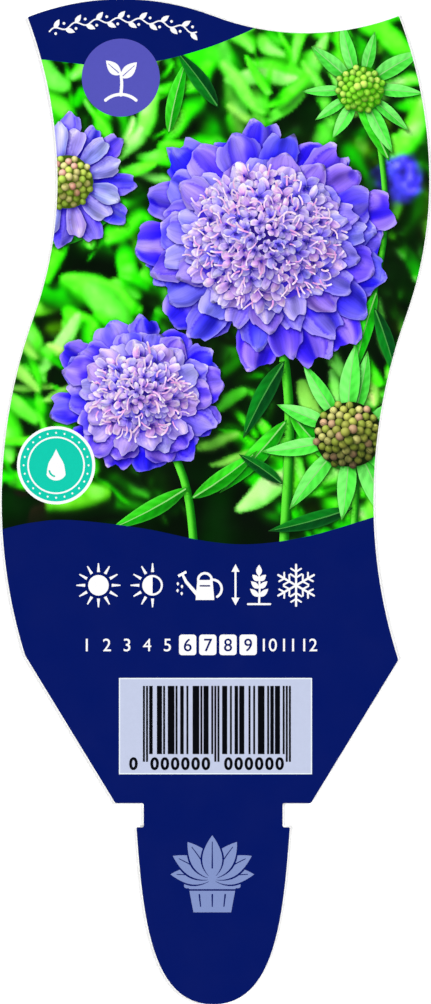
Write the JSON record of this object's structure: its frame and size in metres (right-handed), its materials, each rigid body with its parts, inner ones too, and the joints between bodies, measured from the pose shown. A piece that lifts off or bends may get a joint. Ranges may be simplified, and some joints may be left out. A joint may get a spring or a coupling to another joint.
{
  "type": "plant label",
  "caption": "Flat printed plastic plant label with a waved blade and a barbed tongue that pushes into the label slot of a pot.",
  "frame": {"origin": "middle of the label's box in X and Y, on the back face", "axes": "+Z out of the printed front face, +Y along the label from the tongue's tip to the waved top edge, +X to the right of the printed face"},
  "size_m": [0.0728, 0.171, 0.0005],
  "materials": {
    "label_plastic": "white plastic sheet, printed all over the front under a satin varnish, with a bare white back and edge"
  },
  "bodies": {
    "root": {"label_sheet": "label_plastic"}
  },
  "joints": []
}
